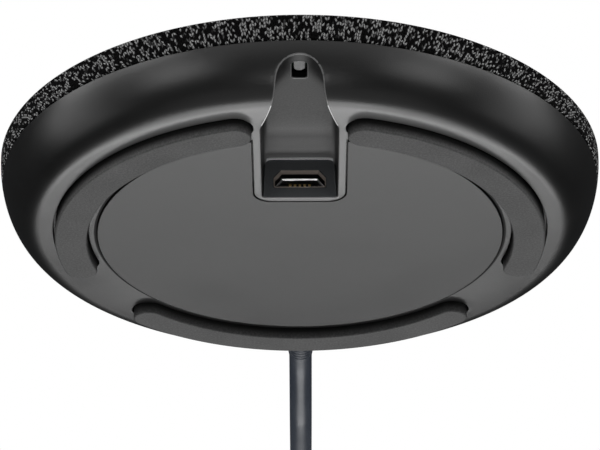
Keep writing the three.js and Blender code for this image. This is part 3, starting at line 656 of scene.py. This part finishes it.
# ---- Hook-and-loop tie round the far side of the coil ----
def add_tie():
    low, high = (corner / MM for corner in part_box("cord_tie"))
    middle = ((low.y + high.y) / 2, (low.z + high.z) / 2)
    half, tall = (high.y - low.y) / 2, (high.z - low.z) / 2
    thick = 0.7
    loop = rounded_section(half - thick / 2, tall - thick / 2, 1.6, 10)
    width = (low.x + 0.1, high.x - 0.1)
    section = [(width[0], -1), (width[0] + 0.15, 1), (width[1] - 0.15, 1), (width[1], -1)]
    rings = []
    for y, z in loop:
        out = Vector((y, z)).normalized() * thick / 2
        rings.append([(x, middle[0] + y + out.x * side, middle[1] + z + out.y * side) for x, side in section])
    return piece("cord_tie_strap", *join_rings(rings, closed=True), tie_fabric, slot="tie_fabric",
                 replaces=["cord_tie"])


tie = add_tie()


# ---- Lower casing ----
def recess_half(y):
    past = max(SHOULDER_Y - y, 0)
    return RIM_HALF - SHOULDER_TAPER * past + SHOULDER_EASE * past * past


def recess_section(y, shrink=0.0, steps=40):
    """The recess across X at y, as (x, y, z) from right to left over the ceiling."""
    t = min(max((-y - 28) / 19, 0), 1)
    reach = t * t * (3 - 2 * t)
    half = max(recess_half(y), ARCH_RADIUS) - shrink
    low = BASE_Z + (ARCH_Z - ARCH_RADIUS - BASE_Z) * reach
    top = RECESS_Z + (ARCH_Z - RECESS_Z) * (y - PORT_Y) / (-50 - PORT_Y) - shrink
    power = 2 / (14 - 12 * reach)
    lean = 0.05 * (1 - reach)
    section = [(half, y, -1)]
    for i in range(steps + 1):
        angle = math.pi * i / steps
        c, s = math.cos(angle), math.sin(angle)
        rise = abs(s) ** power
        section.append((half * (1 - lean * rise) * math.copysign(abs(c) ** power, c), y, low + (top - low) * rise))
    section.append((-half, y, -1))
    return section


PORT_FILLET = 0.5


def recess_cutter():
    fillet = PORT_FILLET
    sections = [recess_section(PORT_Y - fillet * (1 - math.sin(math.radians(18 * i))),
                               fillet * (1 - math.cos(math.radians(18 * i)))) for i in range(5, 0, -1)]
    sections += [recess_section(PORT_Y - fillet)]
    y = -16.0
    while y > -52:
        sections.append(recess_section(y))
        y -= 2.0 if y > SHOULDER_Y + 3 else 0.7
    sections.append(recess_section(-53))
    return join_rings(sections)


def pad_outline(ends, grow):
    inner, outer = PAD_INNER - grow, PAD_OUTER + grow
    middle, cap = (inner + outer) / 2, (outer - inner) / 2
    start, end = ends
    sweep = max(int(abs(start - end) / 1.5), 8)
    turn = lambda degrees: (middle * math.cos(math.radians(degrees)), middle * math.sin(math.radians(degrees)))
    return (arc((0, 0), outer, start, end, sweep) + arc(turn(end), cap, end, end - 180, 20)[1:-1]
            + arc((0, 0), inner, end, start, sweep) + arc(turn(start), cap, start - 180, start - 360, 20)[1:-1])


PAD_ENDS = {
    "right": SIDE_PAD_ENDS,
    "left": tuple(180 - end for end in reversed(SIDE_PAD_ENDS)),
    "rear": REAR_PAD_ENDS,
}


def rim_outline(grow):
    half = RIM_HALF + RIM_WIDTH + grow
    front = PORT_Y + RIM_WIDTH + grow
    corner = RIM_CORNER
    return ([(-half, RIM_BACK_Y), (half, RIM_BACK_Y)] + arc((half - corner, front - corner), corner, 0, 90, 10)
            + arc((-half + corner, front - corner), corner, 90, 180, 10))


def usb_outline(grow):
    """The receptacle's outline in X and Z, its upper corners cut off."""
    half, low, high = USB_HALF + grow, USB_Z - USB_HEIGHT / 2 - grow, USB_Z + USB_HEIGHT / 2 + grow
    rounded = 0.25
    return (arc((-half + rounded, low + rounded), rounded, 180, 270, 4)
            + arc((half - rounded, low + rounded), rounded, 270, 360, 4)
            + [(half, high - USB_CHAMFER_HIGH), (half - USB_CHAMFER, high),
               (-half + USB_CHAMFER, high), (-half, high - USB_CHAMFER_HIGH)])


def attach(obj, shape):
    """Adds a shape whose root is buried in the piece's wall."""
    part = piece("part", *shape, obj.data.materials[0], body=None)
    bm = bmesh.new()
    bm.from_mesh(obj.data)
    bm.from_mesh(part.data)
    bm.to_mesh(obj.data)
    bm.free()
    bpy.data.objects.remove(part)


def sharp_edges(bm, limit, test):
    return [e for e in bm.edges if len(e.link_faces) == 2 and e.calc_face_angle(0) > limit
            and test((e.verts[0].co + e.verts[1].co) / 2 / MM)]


def soften(obj, width, limit, test, segments=2, highlight=None):
    """Rounds the sharp edges whose middle, in millimetres, passes the test. chain keeps its order, for equal runs."""
    bm = bmesh.new()
    bm.from_mesh(obj.data)
    bmesh.ops.triangulate(bm, faces=[f for f in bm.faces if len(f.verts) > 4])
    near = width * MM * 0.75
    for _ in range(4):
        edges = sharp_edges(bm, math.radians(limit), test)
        chain = dict.fromkeys(v for e in edges for v in e.verts)
        short = [e for e in edges if e.calc_length() < near]
        side = [e for v in chain for e in v.link_edges
                if e.calc_length() < near and (e.verts[0] in chain) != (e.verts[1] in chain)]
        if not short and not side:
            break
        merge = {}
        for e in side:
            inner, outer = sorted(e.verts, key=lambda v: v not in chain)
            if outer not in merge and inner not in merge.values():
                merge[outer] = inner
        bmesh.ops.weld_verts(bm, targetmap=merge)
        edges = sharp_edges(bm, math.radians(limit), test)
        chain = dict.fromkeys(v for e in edges for v in e.verts)
        bmesh.ops.remove_doubles(bm, verts=list(chain), dist=near)
        bmesh.ops.dissolve_degenerate(bm, edges=bm.edges, dist=0.002 * MM)
    edges = sharp_edges(bm, math.radians(limit), test)
    # The new faces take the material at index highlight, a painted edge highlight.
    bmesh.ops.bevel(bm, geom=edges, offset=width * MM, segments=segments, profile=0.5, affect="EDGES",
                    clamp_overlap=False, material=highlight if highlight is not None else -1)
    bm.to_mesh(obj.data)
    bm.free()


FLAT_FROM, FLAT_CURVE = 38, 0.0035  # the underside rises a little from this radius outwards


def flat_lift(radius):
    return FLAT_CURVE * max(min(radius, BASE_RADIUS) - FLAT_FROM, 0) ** 2


def underside(angle):
    r, z = belly_point(angle)
    return r, z + flat_lift(BASE_RADIUS) * math.sin(angle) ** 2


def rim_shape():
    """The rim round the port, level with the bottom plate; it climbs to the casing's underside at its back."""
    vertices, faces = slab(rim_outline(0), RIM_Z, 5, RIM_ROUND, steps=5)
    climb = BASE_Z - RIM_Z
    return [(x, y, z + climb if y < RIM_CLIMB_Y and z < BASE_Z else z) for x, y, z in vertices], faces


def tongue_shape():
    half = 1.05
    tip = -44.5 - half
    outline = [(-half, -48.6), (half, -48.6)] + arc((0, tip), half, 0, 180, 16)
    return slab(outline, TONGUE_Z, 9.6, 0.3)


def paint_port(casing):
    """The port's wall is bluish; its fillet and the recess's shoulders get a painted highlight."""
    casing.data.materials.append(port_plastic)
    casing.data.materials.append(fillet_highlight)
    wall, edge, highlight = (casing.data.materials.find(m.name) for m in (port_plastic, fillet_highlight, highlight_edge))
    for face in casing.data.polygons:
        x, y, z = face.center / MM
        if abs(x) < RIM_HALF and PORT_Y - 0.06 < y < PORT_Y + 0.3 and BASE_Z - 0.1 < z < RECESS_Z:
            face.material_index = wall
        elif abs(x) < RIM_HALF - 0.75 and PORT_Y - PORT_FILLET < y < PORT_Y and z > RECESS_Z - PORT_FILLET:
            face.material_index = edge
        elif face.material_index == highlight and abs(x) > 3 and SHOULDER_Y - 7 < y < SHOULDER_Y - 1:
            face.material_index = edge


def add_casing():
    plate_low, plate_high = (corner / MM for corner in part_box("bottom_plate"))
    pocket = plate_high.x + PLATE_GAP
    pocket_z = plate_high.z + 0.3
    edge = 0.14
    floor_radius, floor_z = 40, 9.9  # the solid inside, never seen
    well_radius, well_z = 13.2, 9.35  # lower under the voice coil, for its travel
    outer = stretch(underside, math.pi / 2, belly_angle(SEAM_Z - 0.06), 44)
    lip = outer[-1]
    flat = [(r, BASE_Z + flat_lift(r)) for r in (FLAT_FROM, 39, 40, 41, 42, 43)]
    profile = [(0, pocket_z), (pocket, pocket_z), (pocket, BASE_Z + edge), (pocket + edge * 0.3, BASE_Z + edge * 0.3),
               (pocket + edge, BASE_Z), *flat, *outer, (lip[0] - 0.06, SEAM_Z + 0.02), (lip[0] - 0.2, SEAM_Z + 0.04),
               (lip[0] - 1.7, SEAM_Z + 0.04), (47.3, 9.4), (floor_radius, 9.4), (floor_radius, floor_z),
               (well_radius + 0.3, floor_z), (well_radius, well_z), (0, well_z)]
    casing = piece("casing_shell", *revolved(profile, 320), casing_plastic, body=None)
    channels = [slab(pad_outline(ends, PAD_GAP), -1, 3.3) for ends in PAD_ENDS.values()]
    flares = [slab(pad_outline(ends, PAD_GAP), BASE_Z + 0.03, BASE_Z + 0.3, -0.2) for ends in PAD_ENDS.values()]
    carve(casing, joined=[rim_shape()], cut=[*channels, *flares, (recess_cutter(), recess_plastic)])
    port = upright(slab(usb_outline(0.3), 10.5, -PORT_Y + 1))
    slot = slab(rounded_section(*SLOT_SECTION), ARCH_Z - 2, 9.7)
    slot = moved(slot, Matrix.Translation((0, SLOT_Y, 0)))
    hole = moved(revolved([(0, 44), (2.95, 44), (2.95, 52), (0, 52)], 64),
                 Matrix.Translation((0, 0, EXIT_Z)) @ Matrix.Rotation(-math.pi / 2, 4, "X"))
    carve(casing, cut=[(port, contact_holder), slot, hole])
    # The rounded mouth edges are painted with a highlight.
    casing.data.materials.append(highlight_edge)
    soften(casing, 0.2, 24, on_mouth, 3, len(casing.data.materials) - 1)
    attach(casing, tongue_shape())
    paint_port(casing)
    return casing


def on_mouth(place):
    """Whether a place is on the outer rim of the recess, the slot or the port."""
    x, y, z = place
    if y > PORT_Y + 2 or abs(x) > RIM_HALF + 0.05 or z > SEAM_Z - 0.3:
        return False
    if abs(y - PORT_Y) < 0.05:
        return z < RIM_Z + 0.05 or z > 3
    if abs(x) < 1.4 and -47.6 < y < -41.4:
        return z > ARCH_Z - 0.3 and z < ARCH_Z + 0.6
    radius = math.hypot(x, y)
    out = min((radius - BASE_RADIUS) / (BODY_RADIUS - BASE_RADIUS), 1)
    surface = BASE_Z if radius < BASE_RADIUS else underside(math.acos(out))[1]
    return abs(z - surface) < 0.4


casing = add_casing()
settle(casing, "base", ["lower_casing"])


# ---- Bottom plate and pads ----
def add_plate():
    low, high = (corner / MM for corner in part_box("bottom_plate"))
    radius = high.x
    half = RIM_HALF + RIM_WIDTH + PLATE_GAP
    cut = math.degrees(math.asin(half / radius))
    notch = rim_outline(PLATE_GAP)[2:]
    outline = arc((0, 0), radius, -90 + cut, 270 - cut, 220) + notch[::-1]
    return piece("plate_disc", *slab(outline, low.z, high.z, 0.12, 0.05), plate_plastic, slot="casing_plastic",
                 replaces=["bottom_plate"])


def add_pads():
    for side, ends in PAD_ENDS.items():
        low, high = (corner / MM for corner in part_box(f"foot_pad_{side}"))
        piece(f"rubber_foot_{side}", *slab(pad_outline(ends, 0), low.z, high.z, 0.3, 0.05), pad_rubber,
              slot="pad_rubber", replaces=[f"foot_pad_{side}"])


add_plate()
add_pads()


# ---- Knitted cover ----
def add_cover():
    hem = []
    for lift, tuck in ((0.1, 0.6), (0.13, 0.38), (0.22, 0.16), (0.38, 0.04)):
        hem.append((belly_point(belly_angle(SEAM_Z + lift))[0] - tuck, SEAM_Z + lift))
    outer = (hem + stretch(belly_point, belly_angle(SEAM_Z + 0.6), 0, 14)
             + stretch(shoulder_point, 0, math.pi / 2, 40)[1:] + [(22, DOME_TOP_Z - 0.1), (19.4, DOME_TOP_Z)])
    inner = inset(outer, SKIN)[::-1]
    profile = outer + inner
    segments = 360
    vertices, faces = join_rings([circle(r, z, segments) for r, z in profile], closed=True)
    cover = piece("knitted_cover", vertices, faces, cover_knit, slot="cover_fabric", replaces=["fabric_cover"],
                  smooth=60)
    reach = [outer[-1][0]]
    for (r0, z0), (r1, z1) in zip(outer[::-1], outer[-2::-1]):
        reach.append(reach[-1] + math.hypot(r1 - r0, z1 - z0))
    along = reach[::-1] + reach
    layer = cover.data.uv_layers.new(name="cloth")
    for loop in cover.data.loops:
        ring, step = divmod(loop.vertex_index, segments)
        angle = TURN * step / segments
        layer.data[loop.index].uv = (along[ring] * MM * math.cos(angle), along[ring] * MM * math.sin(angle))
    return cover


add_cover()


# ---- Control island ----
def add_island():
    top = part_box("control_bezel")[1].z / MM
    bezel = [(0, 19), (17.8, 19), (17.8, 16.2), (19, 16.2), (19, 17.4), (21.3, 17.4), (21.3, 18), (19, 18)]
    bezel += arc((ISLAND_RADIUS - 0.45, top - 0.45), 0.45, 0, 90, 5)
    bezel += arc((WELL_RADIUS + 0.2, top - 0.2), 0.2, 90, 180, 4)
    bezel += [(WELL_RADIUS, 19.8), (0, 19.8)]
    piece("island_bezel", *revolved(bezel, 144), bezel_plastic, slot="bezel_plastic", replaces=["control_bezel"])
    ring_low, ring_high = (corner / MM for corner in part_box("light_ring"))
    inner, outer = 16.95, ring_high.x
    ring = ([(inner, ring_low.z), (outer, ring_low.z)] + arc((outer - 0.2, ring_high.z - 0.2), 0.2, 0, 90, 4)
            + arc((inner + 0.2, ring_high.z - 0.2), 0.2, 90, 180, 4))
    piece("status_ring", *revolved(ring, 144, closed=True), light_plastic, slot="light_diffuser",
          replaces=["light_ring"])


KEYS = (("end", 0), ("volume_up", 90), ("call", 180), ("volume_down", 270))


def quarter_outline():
    inner, outer = KEY_RING
    side = lambda radius: 45 - math.degrees(math.asin(KEY_SPLIT / 2 / radius))
    return arc((0, 0), outer, -side(outer), side(outer), 30) + arc((0, 0), inner, side(inner), -side(inner), 20)


def add_keys():
    low, high = (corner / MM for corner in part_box("mute_key"))
    stem = 1.5
    base = 20.4
    dish = ([(0, low.z), (stem, low.z), (stem, base), (MUTE_RADIUS, base)]
            + arc((MUTE_RADIUS - 0.3, high.z - 0.3), 0.3, 0, 90, 5)
            + [(6, high.z - 0.12), (3, high.z - 0.19), (0, high.z - 0.21)])
    piece("mute_button", *revolved(dish, 96), key_plastic, "mute_key", "key_plastic", ["mute_key"])
    for name, angle in KEYS:
        turn = Matrix.Rotation(math.radians(angle), 4, "Z")
        cap = slab(quarter_outline(), base, high.z, 0.05, 0.25)
        post = moved(revolved([(0, low.z), (stem, low.z), (stem, base + 0.2), (0, base + 0.2)], 32),
                     Matrix.Translation((STEM_AT, 0, 0)))
        piece(f"{name}_button", *moved(merged([cap, post]), turn), key_plastic, f"{name}_key", "key_plastic",
              [f"{name}_key"])
    return high.z


def bar(x0, x1, y0, y1):
    return [(x0, y0), (x1, y0), (x1, y1), (x0, y1)]


def capsule(centre, half_long, radius):
    x, y = centre
    return arc((x, y + half_long), radius, 0, 180, 10) + arc((x, y - half_long), radius, 180, 360, 10)


def band(centre, inner, outer, start, end, steps=20):
    return arc(centre, outer, start, end, steps) + arc(centre, inner, end, start, steps)


def add_icons(key_top):
    ink, lift = 0.04, 0.03
    mute_dip = 0.2  # depth of the mute key's dish

    def icon(name, outlines, at, turn, material, top):
        place = Matrix.Translation((*at, 0)) @ Matrix.Rotation(math.radians(turn), 4, "Z")
        shapes = [moved(slab(o, top - 0.1, top + ink, 0, lift, 2), place) for o in outlines]
        piece(f"{name}_icon", *merged(shapes), material, f"{name}_key", "key_plastic")

    microphone = [capsule((0, 0.9), 1.0, 0.85), band((0, 0.4), 1.3, 1.6, 200, 340), bar(-0.15, 0.15, -2.0, -1.15),
                  bar(-0.9, 0.9, -2.3, -2.0)]
    icon("mute", microphone, (0, 0), 0, icon_paint, key_top - mute_dip)
    icon("volume_up", [bar(-1.3, 1.3, -0.18, 0.18), bar(-0.18, 0.18, 0.18, 1.3), bar(-0.18, 0.18, -1.3, -0.18)],
         (0, STEM_AT), 0, icon_paint, key_top)
    icon("volume_down", [bar(-1.3, 1.3, -0.18, 0.18)], (0, -STEM_AT), 0, icon_paint, key_top)
    handset = [band((0, 0), 1.25, 1.75, -60, 60), bar(0.25, 1.15, -1.95, -1.1), bar(0.25, 1.15, 1.1, 1.95)]
    icon("call", handset, (-STEM_AT, 0), 215, call_paint, key_top)
    icon("end", handset, (STEM_AT, -0.6), 90, end_paint, key_top)


add_island()
add_icons(add_keys())


# ---- Charging port ----
def add_port():
    low, high = (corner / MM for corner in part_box("usb_shell"))
    front, back = -low.y, -high.y
    wall = 0.3
    levels = [(0, back), (0, front - 0.1), (-0.03, front), (0.04 - wall, front - 0.18), (-wall, front - 0.3),
              (-wall, back + 0.4)]
    rings = [[(x, y, z) for x, y in grown(usb_outline(0), offset)] for offset, z in levels]
    piece("port_shell", *upright(join_rings(rings)), port_steel, slot="connector_steel",
          replaces=["usb_shell"])
    mouth = [(0.29, -PORT_Y - 1.1), (0.29, -PORT_Y - 0.05), (0.24, -PORT_Y + 0.03), (0.19, -PORT_Y - 0.06),
             (0.1, -PORT_Y - 1), (0.1, -PORT_Y - 1.1)]
    rings = [[(x, y, z) for x, y in grown(usb_outline(0), offset)] for offset, z in mouth]
    piece("port_mouth", *upright(join_rings(rings, closed=True)), mouth_trim_highlight, slot="connector_steel")
    tongue = bar(-2.55, 2.55, USB_Z + 0.05, USB_Z + 0.5)
    piece("port_tongue", *upright(slab(tongue, back + 0.5, front - 0.4, 0, 0.1, 2)), contact_holder,
          slot="chip_plastic", replaces=["usb_tongue"])
    strips = [upright(slab(bar(x - 0.2, x + 0.2, USB_Z - 0.05, USB_Z + 0.44), back + 0.6, front - 0.33))
              for x in (-1.6, -0.8, 0, 0.8, 1.6)]
    piece("port_contacts", *merged(strips), gold, slot="connector_steel")


add_port()

# ---- Materials of the CAD nodes that stay as they are ----
CARRIED = {
    "grille_frame": frame_plastic, "key_board": circuit_board, "main_board": circuit_board,
    "driver_basket": zinc, "driver_pot": steel, "driver_magnet": zinc, "driver_top_plate": steel,
    "driver_surround": dark_rubber, "voice_coil": copper, "driver_cone": cone_paper, "dust_cap": cone_paper,
    "ballast_plate": zinc, "processor_shield": steel, "amplifier_chip": chip_plastic, "codec_chip": chip_plastic,
    "lead_header": light_plastic, "inner_lead": cord_jacket,
}
for n in range(1, 5):
    CARRIED[f"casing_screw_{n}"] = steel
    CARRIED[f"mic_board_{n}"] = circuit_board
    CARRIED[f"mic_boot_{n}"] = boot_rubber
for name in ("mute", "end", "volume_up", "call", "volume_down"):
    CARRIED[f"{name}_switch"] = steel
for name, finish in CARRIED.items():
    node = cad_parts[name]
    node.data.materials.clear()
    node.data.materials.append(finish)


# ---- Studio: pale floor far below, white surroundings, soft lights ----
def add_floor():
    size, depth = 6.0, -1.6
    mesh = bpy.data.meshes.new("floor")
    mesh.from_pydata([(-size, -size, depth), (size, -size, depth), (size, size, depth), (-size, size, depth)], [],
                     [(0, 1, 2, 3)])
    floor = bpy.data.objects.new("floor", mesh)
    bpy.context.scene.collection.objects.link(floor)
    paint = Paint("floor_paper")
    drift = paint.noise(2.0, 2)
    color = paint.blend(paint.spread(drift, 0, 1), grey(0.78), grey(0.82))
    mesh.materials.append(paint.finish(color))
    floor.visible_diffuse = floor.visible_glossy = False


def add_light(name, place, size, power, target=(0, 0, 0.008)):
    data = bpy.data.lights.new(name, "AREA")
    data.shape = "RECTANGLE"
    data.size, data.size_y = size
    data.energy = power
    lamp = bpy.data.objects.new(name, data)
    lamp.location = place
    direction = Vector(target) - Vector(place)
    lamp.rotation_euler = direction.to_track_quat("-Z", "Y").to_euler()
    bpy.context.scene.collection.objects.link(lamp)
    return lamp


def around(azimuth, elevation, distance):
    """A place round the object; azimuth 0 is the camera's side and 90 is +X."""
    a, e = math.radians(azimuth), math.radians(elevation)
    return (distance * math.cos(e) * math.sin(a), -distance * math.cos(e) * math.cos(a), distance * math.sin(e))


def add_world():
    world = bpy.data.worlds.new("studio")
    bpy.context.scene.world = world
    world.use_nodes = True
    tree = world.node_tree
    tree.nodes.clear()
    output = tree.nodes.new("ShaderNodeOutputWorld")
    seen, dim = tree.nodes.new("ShaderNodeBackground"), tree.nodes.new("ShaderNodeBackground")
    seen.inputs["Color"].default_value = (1, 1, 1, 1)
    dim.inputs["Color"].default_value = (0.9, 0.95, 1, 1)
    dim.inputs["Strength"].default_value = 0.02
    path, mix = tree.nodes.new("ShaderNodeLightPath"), tree.nodes.new("ShaderNodeMixShader")
    tree.links.new(path.outputs["Is Camera Ray"], mix.inputs["Fac"])
    tree.links.new(dim.outputs[0], mix.inputs[1])
    tree.links.new(seen.outputs[0], mix.inputs[2])
    tree.links.new(mix.outputs[0], output.inputs["Surface"])


add_floor()
add_world()
STRIP, WIDE_STRIP, PANEL, SOFTBOX = (0.72, 0.14), (0.72, 0.2), (0.72, 0.26), (0.4, 0.36)
FRONT_PANEL = (1.2, 0.26)
add_light("key_below", around(180, -70, 1.0), WIDE_STRIP, 3.3)
add_light("key_edge", around(180, -53, 1.0), PANEL, 2.2)
add_light("back_low", around(180, -38, 1.0), STRIP, 2.7)
add_light("under", (0, -0.09, -0.2), (0.3, 0.14), 0.05)
add_light("front_level", around(0, 0, 1.0), FRONT_PANEL, 0.5)
add_light("front_high", around(0, 15, 1.0), FRONT_PANEL, 1.4)
for side in (-1, 1):
    add_light("side_low", around(90 * side, -20, 1.0), SOFTBOX, 0.6)
    add_light("side_level", around(90 * side, 0, 1.0), SOFTBOX, 0.85)
    add_light("side_high", around(82 * side, 20, 1.0), SOFTBOX, 1.9)
    add_light("front_side_low", around(45 * side, -10, 1.0), SOFTBOX, 1.35)
    add_light("front_side_high", around(54 * side, 20, 1.0), SOFTBOX, 3.0)
add_light("port_light", around(0, -38, 0.9), (0.12, 0.2), 0.7)
add_light("overhead", around(180, 60, 1.1), (1.2, 0.8), 6)
add_light("floor_light", (0, 0, -0.7), (12, 12), 380, (0, 0, -1.6))
bpy.context.scene.view_settings.view_transform = "Standard"
